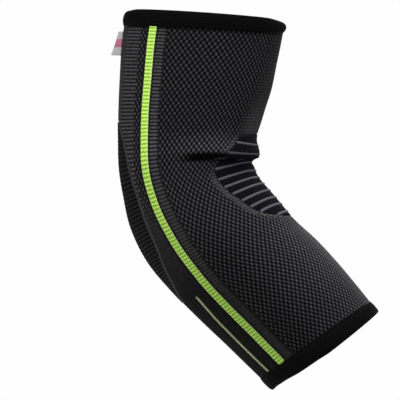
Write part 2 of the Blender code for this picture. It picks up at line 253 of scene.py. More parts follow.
# The cuffs: how far the rim lies inside the sleeve's end and the knit's side of the cuff from that end,
# by degrees from the front.
UPPER_RIM = ((0, 2.3), (20, 1.1), (42, -0.3), (80, -0.6), (130, -0.6), (150, -0.2), (160, 0.6), (180, 1.2))
UPPER_CUFF_EDGE = ((0, 7.7), (20, 8.1), (35, 9.2), (50, 10.3), (90, 11.0), (135, 11.8), (180, 11.4))
FOREARM_RIM = (
    (0, -1.0),
    (26, -1.6),
    (45, -1.4),
    (60, -0.9),
    (78, -0.7),
    (90, 0.0),
    (99, 0.8),
    (121, 1.5),
    (138, 2.8),
    (157, 2.9),
    (180, 1.7),
)
FOREARM_CUFF_EDGE = (
    (0, 8.6),
    (15, 9.0),
    (40, 11.0),
    (60, 12.0),
    (90, 13.3),
    (110, 13.8),
    (140, 13.5),
    (180, 13.0),
)

# Each cuff's share of its height that is rounded at the rim, and its greatest lift. The lifts of its side at
# the knit and of the middle of its thickness, and the share of its height over which it rises from that side.
UPPER_ROLL, FOREARM_ROLL = (0.45, 1.5), (0.3, 0.9)
CUFF_SIDE, CUFF_MIDDLE, CUFF_RISE = 0.3, -0.9, 0.45
CUFF_HEIGHT, CUFF_MM_PER_DEGREE = 10.0, 0.8  # nominal, for its UV map

# The cuffs' stitches: their place in the cuff's height, half a stitch's share of their spacing, and the pinch
# they make: its depth, how much that varies and how wide it is.
STITCH_SHARE, STITCH_HALF_SHARE = 0.82, 0.38
STITCHES_ROUND = 100
UPPER_STITCH_LIFT, FOREARM_STITCH_LIFT = 0.65, 0.35
PINCH_DEPTH, PINCH_VARIES, PINCH_WIDTH = 0.15, 0.08, 0.06

# The sewn stitches: their threads' thickness and sides, and one stitch's points, as (way along it, height,
# share of the thread's thickness).
CUFF_THREAD, SEAM_THREAD, LABEL_THREAD = 0.4, 0.48, 0.56
THREAD_SIDES = 6
STITCH_POINTS = ((-1.0, -0.35, 0.5), (-0.8, 0.1, 0.9), (0.0, 0.22, 1.0), (0.8, 0.1, 0.9), (1.0, -0.35, 0.5))
STITCH_ALONG, STITCH_HEIGHT, STITCH_THICKNESS = np.array(STITCH_POINTS).T

# The elastic in each cuff: its section, as (share of the cuff's height, lift).
ELASTIC_PROFILE = np.array(((0.38, -0.35), (0.17, -0.35), (0.17, -1.45), (0.38, -1.45), (0.38, -0.35)))

# The seam, in degrees from the back line: its middle and how far each of its two rows lies from that. Then
# half a stitch's length, the share of that distance that it leans, and its lift.
SEAM_BACK_ANGLE, SEAM_SHIFT = 17.0, 1.7
SEAM_START, SEAM_END, SEAM_PITCH = 11.5, 70.0, 1.6
SEAM_STITCH_HALF, SEAM_STITCH_LEAN, SEAM_STITCH_LIFT = 0.9, 0.2, 0.28
SEAM_STRIP = ((0, 156.5), (45, 158.5), (80, 165), (95, 184), (262, 184))  # plain beyond this, toward the back

# The label: its place and size, its thickness and the gap in its fold, how far it stands open at its top and
# at its bottom, how much it bulges, and where the coloured band across it is.
TAG_TOP, TAG_HEIGHT, TAG_REACH = 15.5, 16.0, 10.0
TAG_BACK_ANGLE, TAG_LIFT = 12.5, 1.2
TAG_THICKNESS, TAG_GAP = 0.6, 0.05
TAG_OPEN_TOP, TAG_OPEN_BOTTOM = 9.0, 32.0
TAG_CURL, TAG_BOW = 0.9, 0.35
TAG_BAND = (5.0, 10.6)

# The label's stitches: how far below its top they start and above its bottom they end, their spacing, half of
# one's length, how many degrees they lie from its edge, and their lift.
TAG_STITCH_START, TAG_STITCH_END, TAG_STITCH_PITCH = 1.5, 1.0, 2.4
TAG_STITCH_HALF, TAG_STITCH_INSET, TAG_STITCH_LIFT = 0.95, 1.6, 0.35

# The picture's place, in metres and degrees, and its light: each lamp's name, place, size and power.
LENS, SENSOR, VIEW_WIDTH, VIEW_ROLL = 400.0, 36.0, 0.268, 8.8  # the first two in mm
VIEW_MIDDLE = (0.0156, -0.0114)
FLOOR_REACH, FLOOR_HEIGHT = 0.75, -0.36
LAMPS = (
    ("key", (0.15, -0.40, 1.35), 0.7, 60.0),
    ("fill", (-0.9, -0.7, 0.5), 0.8, 8.0),
    ("rim", (0.5, 1.0, 0.6), 0.8, 8.0),
)


# The sleeve's surface


def catmull_rom(before, start, end, after, part):
    """The point at this part of the way from start to end, on a smooth curve through all four."""
    return 0.5 * (
        2 * start
        + (end - before) * part
        + (2 * before - 5 * start + 4 * end - after) * part**2
        + (3 * start - before - 3 * end + after) * part**3
    )


def smooth_sections():
    """Rows of (front x, z, back x, z, half depth) through the stations, and each row's length along."""
    rows = [np.array([*front, *back, depth]) for front, back, depth in STATIONS]
    rows.insert(0, 2 * rows[0] - rows[1])
    rows.append(2 * rows[-1] - rows[-2])
    sections = []
    for i in range(1, len(rows) - 2):
        for step in range(STEPS_PER_STATION):
            part = step / STEPS_PER_STATION
            sections.append(catmull_rom(rows[i - 1], rows[i], rows[i + 1], rows[i + 2], part))
    sections.append(rows[-2])
    sections = np.array(sections)
    centres = (sections[:, 0:2] + sections[:, 2:4]) / 2
    steps = np.linalg.norm(np.diff(centres, axis=0), axis=1)
    return sections, np.concatenate([[0.0], np.cumsum(steps)])


SECTIONS, LENGTHS = smooth_sections()
SLEEVE_LENGTH = float(LENGTHS[-1])


def value_at(table, along, soften=0.0):
    """A table's value at these lengths or angles. Softening rounds its corners, that far both ways."""
    places, values = zip(*table)
    shifts = np.linspace(-soften, soften, 9) if soften else (0.0,)
    return sum(np.interp(np.asarray(along) + shift, places, values) for shift in shifts) / len(shifts)


def smoothstep(start, end, value):
    part = np.clip((value - start) / (end - start), 0.0, 1.0)
    return part * part * (3.0 - 2.0 * part)


def falling(start, end, value):
    return 1.0 - smoothstep(start, end, value)


def plateau(start, full, fading, end, value):
    """0 before start and after end, and 1 between full and fading."""
    return smoothstep(start, full, value) * falling(fading, end, value)


def bell(value, middle, width):
    return np.exp(-(((value - middle) / width) ** 2))


def from_front(degrees):
    """How far round from the front line, 0 to 180."""
    return np.abs((np.asarray(degrees) + 180.0) % 360.0 - 180.0)


def section_at(along):
    """The sleeve's front x and z, back x and z, and half depth at these lengths."""
    return [np.interp(along, LENGTHS, column) for column in SECTIONS.T]


def mm_per_degree(along):
    front_x, front_z, back_x, back_z, half_depth = section_at(along)
    half_width = np.hypot(front_x - back_x, front_z - back_z) / 2
    return np.radians(half_width + half_depth) / 2


def relief(along, degrees):
    """How far the worn knit stands out of its smooth shape, in and near the crook."""
    turn = from_front(degrees)
    above = value_at(CREASE, turn, soften=4.0) - along
    lip = value_at(LIP_HEIGHTS, turn, soften=4.0) * smoothstep(*LIP_START, above) * falling(*LIP_FADE, above)
    groove = value_at(GROOVE_DEPTHS, turn, soften=4.0) * bell(above, *GROOVE_PLACE)
    roll = value_at(LOWER_ROLL, turn, soften=4.0) * bell(above, *ROLL_PLACE)
    swell = value_at(FRONT_SWELL, along, soften=4.0) * falling(*SWELL_FADE, turn)
    return lip - groove + roll + swell


def skin(along, degrees, lift=0.0):
    """Points in metres, for arrays of places on the sleeve."""
    along, degrees, lift = np.broadcast_arrays(along, degrees, lift)
    front_x, front_z, back_x, back_z, half_depth = section_at(along)
    across_x, across_z = (front_x - back_x) / 2, (front_z - back_z) / 2
    out = lift + relief(along, degrees)
    across = np.cos(np.radians(degrees)) * (1.0 + out / np.hypot(across_x, across_z))
    x = (front_x + back_x) / 2 + across_x * across
    y = (half_depth + out) * np.sin(np.radians(degrees))
    z = (front_z + back_z) / 2 + across_z * across
    return np.stack([x, y, z], axis=-1) * MM


# Meshes


def quads(rows, columns, closed_round, first=0, flip=False):
    """Corner numbers of a grid's faces."""
    spans = columns if closed_round else columns - 1
    row, column = np.meshgrid(np.arange(rows - 1), np.arange(spans), indexing="ij")
    beside = (column + 1) % columns
    corners = [row * columns + column, (row + 1) * columns + column]
    corners += [(row + 1) * columns + beside, row * columns + beside]
    faces = np.stack(corners, axis=-1).reshape(-1, 4) + first
    return faces[:, ::-1] if flip else faces


def grid_uv(u, v, flip=False):
    """Corner coordinates of a grid's faces, where u and v have one column more than a closed grid."""
    values = np.stack([u, v], axis=-1)
    corners = [values[:-1, :-1], values[1:, :-1], values[1:, 1:], values[:-1, 1:]]
    loops = np.stack(corners, axis=-2)
    return loops[..., ::-1, :].reshape(-1, 2) if flip else loops.reshape(-1, 2)


def new_piece(name, points, faces, uv, material, shades=()):
    """A smooth mesh, with a UV map and one named value per point for each of shades."""
    mesh = bpy.data.meshes.new(name)
    mesh.from_pydata(points.reshape(-1, 3).tolist(), [], [list(face) for face in faces])
    layer = mesh.uv_layers.new(name="knit")
    layer.data.foreach_set("uv", np.asarray(uv, np.float32).ravel())
    for title, values in shades:
        attribute = mesh.attributes.new(title, "FLOAT", "POINT")
        attribute.data.foreach_set("value", np.asarray(values, np.float32).ravel())
    mesh.shade_smooth()
    mesh.validate()
    mesh.materials.append(material)
    piece = bpy.data.objects.new(name, mesh)
    bpy.context.scene.collection.objects.link(piece)
    return piece


def grid_piece(name, along, degrees, lift, material, uv, shades=()):
    """A piece through rows of places on the sleeve."""
    along, degrees, lift = np.broadcast_arrays(along, degrees, lift)
    faces = quads(*along.shape, closed_round=False).tolist()
    return new_piece(name, skin(along, degrees, lift), faces, grid_uv(*uv), material, shades)


# Materials


def link_or_set(tree, socket, value):
    if isinstance(value, bpy.types.NodeSocket):
        tree.links.new(value, socket)
    else:
        socket.default_value = value


def calc(tree, operation, *values):
    node = tree.nodes.new("ShaderNodeMath")
    node.operation = operation
    for socket, value in zip(node.inputs, values):
        link_or_set(tree, socket, value)
    return node.outputs[0]


def mapped(tree, value, low, high, new_low, new_high):
    node = tree.nodes.new("ShaderNodeMapRange")
    for socket, number in zip(node.inputs, (value, low, high, new_low, new_high)):
        link_or_set(tree, socket, number)
    return node.outputs[0]


def ramp(tree, value, stops):
    """Colours along a value: (position, (r, g, b)) each."""
    node = tree.nodes.new("ShaderNodeValToRGB")
    elements = node.color_ramp.elements
    while len(elements) < len(stops):
        elements.new(0.5)
    for element, (position, color) in zip(elements, stops):
        element.position = position
        element.color = (*color, 1.0)
    tree.links.new(value, node.inputs[0])
    return node.outputs[0]


def mix_colors(tree, part, first, second):
    node = tree.nodes.new("ShaderNodeMix")
    node.data_type = "RGBA"
    link_or_set(tree, node.inputs[0], part)
    for socket, value in zip((node.inputs[6], node.inputs[7]), (first, second)):
        link_or_set(tree, socket, value if isinstance(value, bpy.types.NodeSocket) else (*value, 1.0))
    return node.outputs[2]


def times(tree, color, value):
    node = tree.nodes.new("ShaderNodeVectorMath")
    node.operation = "SCALE"
    tree.links.new(color, node.inputs[0])
    link_or_set(tree, node.inputs["Scale"], value)
    return node.outputs[0]


def knit_uv(tree):
    """The UV map's socket, and its two numbers."""
    node = tree.nodes.new("ShaderNodeUVMap")
    node.uv_map = "knit"
    parts = tree.nodes.new("ShaderNodeSeparateXYZ")
    tree.links.new(node.outputs[0], parts.inputs[0])
    return node.outputs[0], parts.outputs[0], parts.outputs[1]


def shade_value(tree, name):
    node = tree.nodes.new("ShaderNodeAttribute")
    node.attribute_name = name
    return node.outputs["Fac"]


def scaled(tree, vector, scale):
    node = tree.nodes.new("ShaderNodeVectorMath")
    node.operation = "MULTIPLY"
    tree.links.new(vector, node.inputs[0])
    node.inputs[1].default_value = scale
    return node.outputs[0]


def noise(tree, vector, scale, detail=2.0):
    node = tree.nodes.new("ShaderNodeTexNoise")
    tree.links.new(vector, node.inputs["Vector"])
    node.inputs["Scale"].default_value = scale
    node.inputs["Detail"].default_value = detail
    return node.outputs["Fac"]


def wave(tree, value, period):
    """A cosine of this value: 1 at each whole period, -1 half way between."""
    return calc(tree, "COSINE", calc(tree, "MULTIPLY", value, 2.0 * math.pi / period))


def cloth_material(name, roughness, specular, sheen=0.0):
    """A new material, its node tree and its shader."""
    material = bpy.data.materials.new(name)
    material.use_nodes = True
    tree = material.node_tree
    shader = tree.nodes["Principled BSDF"]
    shader.inputs["Roughness"].default_value = roughness
    shader.inputs["Specular IOR Level"].default_value = specular
    shader.inputs["Sheen Weight"].default_value = sheen
    shader.inputs["Sheen Roughness"].default_value = 0.5
    return material, tree, shader


def set_looks(tree, shader, color, height, distance):
    """Gives the shader this colour, and a bump this many mm deep."""
    tree.links.new(color, shader.inputs["Base Color"])
    node = tree.nodes.new("ShaderNodeBump")
    node.inputs["Distance"].default_value = distance * MM
    tree.links.new(height, node.inputs["Height"])
    tree.links.new(node.outputs[0], shader.inputs["Normal"])


def fuzz(tree, fibres, reach):
    """The fibres' noise as a height that goes this far both ways."""
    return mapped(tree, fibres, 0.3, 0.7, -reach, reach)


def shaded(tree, height, reach, stops):
    """A stitch's colour by its height, which goes this far both ways."""
    return ramp(tree, mapped(tree, height, -reach, reach, 0.0, 1.0), stops)


DOT_COLORS = (
    (0.0, (0.0006, 0.0006, 0.0007)),
    (0.42, (0.0034, 0.0034, 0.0037)),
    (0.7, (0.0128, 0.0126, 0.0138)),
    (1.0, (0.0315, 0.0310, 0.0340)),
)
RIB_COLORS = (
    (0.0, (0.0022, 0.0022, 0.0024)),
    (0.35, (0.0110, 0.0110, 0.0117)),
    (0.65, (0.0190, 0.0190, 0.0200)),
    (1.0, (0.0300, 0.0300, 0.0315)),
)
LIME_COLORS = ((0.0, (0.10, 0.20, 0.018)), (0.45, (0.19, 0.33, 0.040)), (1.0, (0.34, 0.53, 0.10)))
LIME_MIDDLE, LIME_EDGE = (0.10, 0.20, 0.015), (0.28, 0.36, 0.15)


def dotted_knit_material():
    """Grey dots on black in the dotted zones and grey ribs in the ribbed ones, both of fine yarn.

    The UV map counts half dots round and rows along. The shades tell how ribbed, how plain and how light each
    place is."""
    material, tree, shader = cloth_material("dotted_knit", 0.9, 0.01)
    uv, round_count, row_count = knit_uv(tree)
    per_mm = scaled(tree, uv, (1.7, ROW, 0.0))
    fibres = noise(tree, per_mm, 3.0)
    loose = fuzz(tree, fibres, 0.35)
    contrast = calc(tree, "SUBTRACT", 1.0, shade_value(tree, "plain"))
    dots = calc(tree, "MULTIPLY", wave(tree, round_count, 2.0), wave(tree, row_count, 2.0))
    dots = calc(tree, "MULTIPLY", dots, contrast)
    ribs = calc(tree, "MULTIPLY", wave(tree, row_count, 1.0), contrast)
    dot_color = shaded(tree, calc(tree, "ADD", dots, loose), 1.0, DOT_COLORS)
    rib_color = shaded(tree, calc(tree, "ADD", ribs, loose), 1.0, RIB_COLORS)
    color = mix_colors(tree, shade_value(tree, "ribbed"), dot_color, rib_color)
    uneven = mapped(tree, noise(tree, per_mm, 0.35, 1.0), 0.3, 0.7, 0.8, 1.2)
    # The tone shade holds painted light and shade as well as the knit's own lightness.
    color = times(tree, color, calc(tree, "MULTIPLY", shade_value(tree, "tone"), uneven))
    set_looks(tree, shader, color, fibres, 0.12)
    return material


def ribbed_material(name, light, dark, pitch, slant=0.0):
    """A fine-ribbed cloth: ribs of this pitch in mm, leaning by slant mm along for each mm round."""
    material, tree, shader = cloth_material(name, 0.9, 0.01)
    uv, across, along = knit_uv(tree)
    leaning = calc(tree, "ADD", along, calc(tree, "MULTIPLY", across, slant))
    height = calc(tree, "ADD", wave(tree, leaning, pitch), fuzz(tree, noise(tree, uv, 3.5), 0.6))
    color = shaded(tree, height, 1.2, ((0.0, dark), (1.0, light)))
    set_looks(tree, shader, color, height, 0.08)
    return material


def stripe_material():
    """Two columns of lime stitches: the UV map counts from -1 to 1 across and rungs along."""
    material, tree, shader = cloth_material("lime_stripe", 0.8, 0.05)
    uv, across, rungs = knit_uv(tree)
    fibres = noise(tree, scaled(tree, uv, (3.0, RUNG, 0.0)), 3.0)
    rung = calc(tree, "ADD", wave(tree, rungs, 1.0), fuzz(tree, fibres, 0.7))
    lime = shaded(tree, rung, 1.2, LIME_COLORS)
    distance = calc(tree, "ABSOLUTE", across)
    middle = mapped(tree, distance, 0.0, 0.10, 0.1, 0.0)
    edge = mapped(tree, distance, 0.62, 0.85, 0.0, 0.5)
    color = mix_colors(tree, middle, lime, LIME_MIDDLE)
    color = mix_colors(tree, edge, color, LIME_EDGE)
    color = times(tree, color, shade_value(tree, "tone"))
    set_looks(tree, shader, color, fibres, 0.12)
    return material


def yarn_material(name, light, dark, pitch):
    """A thin knitted line, of stitches this long in mm."""
    material, tree, shader = cloth_material(name, 0.85, 0.05)
    uv, _, along = knit_uv(tree)
    height = calc(tree, "ADD", wave(tree, along, pitch), fuzz(tree, noise(tree, uv, 3.5), 0.8))
    color = shaded(tree, height, 1.2, ((0.0, dark), (1.0, light)))
    set_looks(tree, shader, color, height, 0.06)
    return material


def label_material():
    """A fine weave with a coloured band across it. The UV map is in mm down it and out from its seam."""
    material, tree, shader = cloth_material("label", 0.7, 0.3, sheen=0.05)
    _, down, out = knit_uv(tree)
    weave = calc(tree, "MULTIPLY", wave(tree, down, 0.5), wave(tree, out, 0.5))
    start, end = TAG_BAND
    band = calc(tree, "MULTIPLY", calc(tree, "GREATER_THAN", down, start), calc(tree, "LESS_THAN", down, end))
    color = mix_colors(tree, band, (0.20, 0.20, 0.203), (0.20, 0.055, 0.09))
    color = times(tree, color, mapped(tree, weave, -1.0, 1.0, 0.85, 1.05))
    set_looks(tree, shader, color, weave, 0.05)
    return material


# The pieces


def knit_zones(along, turn):
    """How far each place lies in each of the knit's zones, from 0 to 1."""
    scale = mm_per_degree(along)
    beside = (180.0 - turn - value_at(STRIPE, along, soften=6.0)) * scale
    half = value_at(STRIPE_HALVES, along, soften=6.0)
    outlines = (BAND_FRONT[0], half + OUTLINE_GAP, -half - OUTLINE_GAP)
    behind = falling(-half - 1.0, -half, beside)
    past_panel = (turn - value_at(CROOK_PANEL, along, soften=3.0)) * scale
    past_front = turn - value_at(UPPER_FRONT, along, soften=5.0)
    past_strip = turn - value_at(SEAM_STRIP, along, soften=6.0)
    upper_front = falling(0.0, UPPER_FRONT_FADE, past_front) * falling(*UPPER_FRONT_END, along)
    forearm_front = falling(*FOREARM_FRONT_FADE, turn) * smoothstep(*FOREARM_FRONT_START, along)
    rows = plateau(*LOWER_ROWS, along) + 0.5 * plateau(*UPPER_ROWS, along)
    return SimpleNamespace(
        band=falling(*BAND_FRONT, beside) * (1.0 - behind),
        behind=behind,
        far_behind=falling(*BAND_BACK, beside),
        outlines=np.clip(sum(bell(beside, place, OUTLINE_WIDTH) for place in outlines), 0.0, 1.0),
        rows=plateau(*ROWS_WIDTH, past_panel) * rows,
        front=upper_front + forearm_front,
        above_panel=upper_front * smoothstep(*ABOVE_PANEL, along),
        strip=smoothstep(0.0, 2.0, past_strip),
        strip_edge=bell(past_strip, 0.0, 0.8) * (along < SEAM_END),
    )


def knit_pattern(along, zones):
    """For each place: how ribbed the knit is (0 dots, 1 ribs), and how plain."""
    plain_back = smoothstep(*PLAIN_BACK_START, along)
    ribbed_front = 0.6 * zones.front + 0.3 * zones.above_panel
    ribbed_side = zones.band + zones.behind * np.maximum(zones.far_behind, plain_back)
    ribbed = np.maximum.reduce([ribbed_front, ribbed_side, zones.rows])

    forearm = smoothstep(*FOREARM_START, along)
    plain_band = 0.75 * forearm + 0.35 * (1.0 - forearm) * smoothstep(*BAND_SOFTENS, along)
    plain_front = 0.7 * zones.front + 0.15 * zones.above_panel
    plain_side = plain_band * zones.band + 0.9 * plain_back * zones.behind
    plain = np.maximum.reduce([plain_front, plain_side, 0.45 * zones.rows, 0.85 * zones.strip])
    return ribbed, plain


def knit_tone_and_painted_light(along, turn, zones):
    """How light the knit is at each place: its own tone, with painted light and shade laid over it."""
    lengthwise = DOTS_TONE + DOTS_LIGHTER * smoothstep(*DOTS_LIGHTEN, along)
    lengthwise = lengthwise * (1.0 - DOTS_DARKER * smoothstep(*DOTS_DARKEN, along))
    # Painted light: the forearm lighter on its upper side and darker underneath.
    painted_forearm_light = 1.0 + (value_at(FOREARM_PAINTED_LIGHT, turn) - 1.0) * smoothstep(*FOREARM_PAINTED_LIGHT_START, along)
    tone = lengthwise * painted_forearm_light * (1.0 - zones.band - zones.behind)
    tone += value_at(BAND_TONES, along, soften=5.0) * zones.band
    tone += value_at(BACK_TONES, along, soften=5.0) * zones.behind

    above = value_at(CREASE, turn) - along
    below_cuff = along - value_at(UPPER_CUFF_EDGE, turn, soften=5.0)
    changes = (
        # Painted highlight on the lip's ridge above the crease.
        (0.8, plateau(*LIP_HIGHLIGHT, above) * bell(turn, *LIP_HIGHLIGHT_PLACE)),
        (0.12, zones.rows),
        (0.35, zones.above_panel),
        (0.35, zones.strip_edge),
        (-0.7, zones.outlines),
        # Painted shadow in the crease under the lip.
        (-0.93, plateau(*FOLD_SHADOW, above) * falling(*FOLD_SHADOW_END, turn)),
        # Painted shadow below the upper cuff.
        (-0.7, falling(0.0, CUFF_SHADE, below_cuff)),
    )
    for change, where in changes:
        tone = tone * (1.0 + change * where)
    return tone


def knit_shades(along, degrees):
    """For each place: how ribbed the knit is (0 dots, 1 ribs), how plain, and how light, painted light and
    shade included.
    """
    turn = from_front(degrees)
    zones = knit_zones(along, turn)
    return *knit_pattern(along, zones), knit_tone_and_painted_light(along, turn, zones)


def knit_relief(along, degrees, ribbed, plain):
    """The stitches' own height: a dot at every second half dot and row, and a rib at every row."""
    columns = degrees / HALF_DOT
    rows = along / ROW
    dots = DOT_HEIGHT * np.cos(math.pi * columns) * np.cos(math.pi * rows)
    ribs = RIB_HEIGHT * np.cos(2.0 * math.pi * rows)
    return (dots * (1.0 - ribbed) + ribs * ribbed) * (1.0 - plain)


def under_panel(along, turn, table):
    """1 where the knit lies below this panel and 0 beside it. The turn is from the panel's middle line."""
    inside = (value_at(table, along, soften=3.0) - turn) * mm_per_degree(along)
    return smoothstep(0.0, 1.5, inside) * (along > table[0][0]) * (along < table[-1][0])


def make_knit(material):
    """The whole knitted tube: a finely stitched outer face and a plainer inner face, joined at both ends."""
    columns = 4 * DOTS_ROUND
    segments = 2 * round((SLEEVE_LENGTH - 2 * KNIT_EDGE) / ROW)
    lengths = np.linspace(KNIT_EDGE, SLEEVE_LENGTH - KNIT_EDGE, segments + 1)
    turns = np.arange(columns + 1) * 360.0 / columns
    along, degrees = np.meshgrid(lengths, turns, indexing="ij")
    ribbed, plain, tone = knit_shades(along, degrees)
    turn = from_front(degrees)
    hidden = np.maximum(under_panel(along, turn, CROOK_PANEL), under_panel(along, 180.0 - turn, BACK_PANEL))
    lift = knit_relief(along, degrees, ribbed, plain) * (1.0 - hidden) + UNDER_PANEL * hidden
    outer_uv = grid_uv(degrees / HALF_DOT, along / ROW)
    outer = skin(along, degrees, lift)[:, :-1]

    inner_along, inner_degrees = along[::4, ::4], degrees[::4, ::4]
    inner_uv = grid_uv(inner_degrees / HALF_DOT, inner_along / ROW, flip=True)
    inner = skin(inner_along, inner_degrees, -KNIT_THICKNESS)[:, :-1]

    first = outer.shape[0] * outer.shape[1]
    faces = quads(*outer.shape[:2], closed_round=True).tolist()
    faces += quads(*inner.shape[:2], closed_round=True, first=first, flip=True).tolist()
    ends = ((0, 0, False), (outer.shape[0] - 1, inner.shape[0] - 1, True))
    uv = [outer_uv, inner_uv]
    for outer_row, inner_row, last in ends:
        for i in range(DOTS_ROUND):
            edge = [outer_row * columns + (4 * i + step) % columns for step in range(5)]
            back = [first + inner_row * DOTS_ROUND + place % DOTS_ROUND for place in (i + 1, i)]
            face = edge + back
            faces.append(face[::-1] if last else face)
            uv.append(np.tile([[2.0 * i, 0.0]], (len(face), 1)))
    points = np.concatenate([outer.reshape(-1, 3), inner.reshape(-1, 3)])
    inside_ribbed = np.ones(inner.shape[:2])
    # The outer face's tone holds painted light and shade as well as the knit's own lightness.
    shades = (
        ("ribbed", np.concatenate([ribbed[:, :-1].ravel(), inside_ribbed.ravel()])),
        ("plain", np.concatenate([plain[:, :-1].ravel(), 0.5 * inside_ribbed.ravel()])),
        ("tone", np.concatenate([tone[:, :-1].ravel(), 0.5 * inside_ribbed.ravel()])),
    )
    return new_piece("knit_sleeve", points, faces, np.concatenate(uv), material, shades)


def make_panel(name, table, pole, material, pitch, slant):
    """A ribbed panel let into the knit: full in its middle and tucked in along its edge."""
    lengths = np.arange(table[0][0], table[-1][0] + 0.01, 0.5)
    along, across = np.meshgrid(lengths, np.linspace(-1.0, 1.0, 121), indexing="ij")
    from_start = smoothstep(0.0, PANEL_START_ROUND, along - lengths[0])
    from_end = smoothstep(0.0, PANEL_END_ROUND, lengths[-1] - along)
    half = value_at(table, along, soften=3.0) * np.sqrt(from_start * from_end)
    scale = mm_per_degree(along)
    beside = half * across * scale
    edge = half * (1.0 - np.abs(across)) * scale
    ribs = PANEL_RIB_HEIGHT * np.cos(2.0 * math.pi * (along + slant * beside) / pitch)
    lift = PANEL_EDGE_LIFT + PANEL_RISE * smoothstep(0.0, 1.6, edge) + ribs
    return grid_piece(name, along, pole + half * across, lift, material, uv=(beside, along))


def make_crook_rib(number, at_ends, at_front, spread, material):
    """One raised light line across the crook panel."""
    half = float(value_at(CROOK_PANEL, at_ends, soften=3.0)) - RIB_LINE_INSET
    turns, across = np.meshgrid(np.linspace(half, -half, 97), np.linspace(-1.0, 1.0, 7), indexing="ij")
    rise = (1.0 - bell(turns, 0.0, spread)) / (1.0 - bell(half, 0.0, spread))
    along = at_front + (at_ends - at_front) * rise + across * RIB_LINE_WIDTH / 2
    fade = 0.3 + 0.7 * smoothstep(0.0, 3.0, half - np.abs(turns))
    lift = RIB_LINE_LIFT + RIB_LINE_HEIGHT * np.sqrt(1.0 - across**2) * fade
    uv = (across, turns * mm_per_degree(along))
    return grid_piece(f"crook_rib_line_{number:02d}", along, turns, lift, material, uv)


def make_line(name, side, table, span, half, lifts, material):
    """A raised line that follows a table of degrees from the back line, on one side of the arm."""
    start, end = span
    low, high = lifts
    lengths = np.linspace(start, end, round((end - start) / 0.8))
    along, across = np.meshgrid(lengths, np.linspace(-1.0, 1.0, 7), indexing="ij")
    fade = smoothstep(0.0, 1.5, np.minimum(along - start, end - along))
    lift = low + (high - low) * np.sqrt(1.0 - across**2) * fade
    middle = side * (180.0 - value_at(table, along, soften=5.0))
    degrees = middle + across * half / mm_per_degree(along)
    return grid_piece(name, along, degrees, lift, material, uv=(across, along))


def make_stripe(name, side, material):
    """A lime ladder stripe: a rounded band with a shallow middle line and a rung at every row."""
    lengths = np.arange(STRIPE_FROM, STRIPE_TO, RUNG / 6)
    along, across = np.meshgrid(lengths, np.linspace(-1.0, 1.0, 21), indexing="ij")
    crown = np.sqrt(1.0 - across**4) * (1.0 - STRIPE_DENT * bell(across, 0.0, 0.15))
    rung = 0.5 + 0.5 * np.cos(2.0 * math.pi * along / RUNG)
    lift = STRIPE_EDGE_LIFT + crown * (STRIPE_RISE + RUNG_RISE * rung)
    past = np.clip((along - STRIPE_TO) / STRIPE_END_ROUND + 1.0, 0.0, 1.0)
    half = value_at(STRIPE_HALVES, along, soften=6.0) * np.sqrt(1.0 - past**2)
    middle = side * (180.0 - value_at(STRIPE, along, soften=6.0))
    degrees = middle + across * half / mm_per_degree(along)
    shades = (("tone", value_at(STRIPE_TONES, along, soften=5.0)),)
    return grid_piece(name, along, degrees, lift, material, (across, along / RUNG), shades)


def cuff_profile(rounded, greatest):
    """The folded band's section, as (share of its height from the rim, lift).

    It goes over the outside, round the rim, back along the inside and through the fold."""
    outside = [(1.0, 0.1)]
    for share in np.linspace(0.99, 0.0, 34):
        if share > rounded:
            rise = math.sin(math.pi / 2 * min((1.0 - share) / CUFF_RISE, 1.0))
            lift = CUFF_SIDE + (greatest - CUFF_SIDE) * rise
        else:
            lift = CUFF_MIDDLE + (greatest - CUFF_MIDDLE) * math.sqrt(1.0 - (1.0 - share / rounded) ** 2)
        outside.append((float(share), lift))
    rim = [(0.01, -1.5), (0.04, -2.1), (0.09, -2.6), (0.16, -2.95)]
    inside = [(0.30, -3.2), (0.65, -3.2), (0.96, -3.1), (1.0, -2.6)]
    fold = [(0.96, -2.1), (0.16, -2.1), (0.12, -0.9), (0.16, -0.1)]
    return np.array(outside + rim + inside + fold + outside[:1])


def cuff_along(share, degrees, at_forearm):
    """The length along the sleeve at this share of a cuff's height: 0 at its rim, 1 at the knit."""
    turn = from_front(degrees)
    rim = value_at(FOREARM_RIM if at_forearm else UPPER_RIM, turn, soften=5.0)
    edge = value_at(FOREARM_CUFF_EDGE if at_forearm else UPPER_CUFF_EDGE, turn, soften=5.0)
    distance = rim + (edge - rim) * share
    return SLEEVE_LENGTH - distance if at_forearm else distance


def closed_ring(name, profile, turns, pinch, at_forearm, material):
    """A solid ring round the sleeve's end, from a closed section of (share of the cuff's height, lift)."""
    share, degrees = np.meshgrid(profile[:, 0], turns, indexing="ij")
    lift = profile[:, 1:] - pinch
    steps = np.hypot(CUFF_HEIGHT * np.diff(profile[:, 0]), np.diff(profile[:, 1]))
    travelled = np.concatenate([[0.0], np.cumsum(steps)])
    travelled = np.broadcast_to(travelled[:, None], degrees.shape)
    along = cuff_along(share, degrees, at_forearm)
    if not at_forearm:
        along, lift, travelled = along[::-1], lift[::-1], travelled[::-1]
    points = skin(along, degrees, lift)[:-1, :-1]
    rows, columns = points.shape[:2]
    faces = quads(rows + 1, columns, closed_round=True) % (rows * columns)
    uv = grid_uv(degrees * CUFF_MM_PER_DEGREE, travelled)
    return new_piece(name, points, faces.tolist(), uv, material)


def make_cuff(name, at_forearm, material):
    """A folded band, pinched a little along its row of stitches."""
    profile = cuff_profile(*(FOREARM_ROLL if at_forearm else UPPER_ROLL))
    columns = 4 * STITCHES_ROUND
    turns = np.arange(columns + 1) * 360.0 / columns
    outside = profile[:, 1:] > 0.6
    depth = PINCH_DEPTH + PINCH_VARIES * np.cos(np.radians(turns) * STITCHES_ROUND)
    pinch = outside * depth * bell(profile[:, :1], STITCH_SHARE, PINCH_WIDTH)
    return closed_ring(name, profile, turns, pinch, at_forearm, material)


def make_elastic(name, at_forearm, material):
    """The flat elastic inside the cuff's fold."""
    turns = np.arange(73) * 5.0
    return closed_ring(name, ELASTIC_PROFILE, turns, 0.0, at_forearm, material)


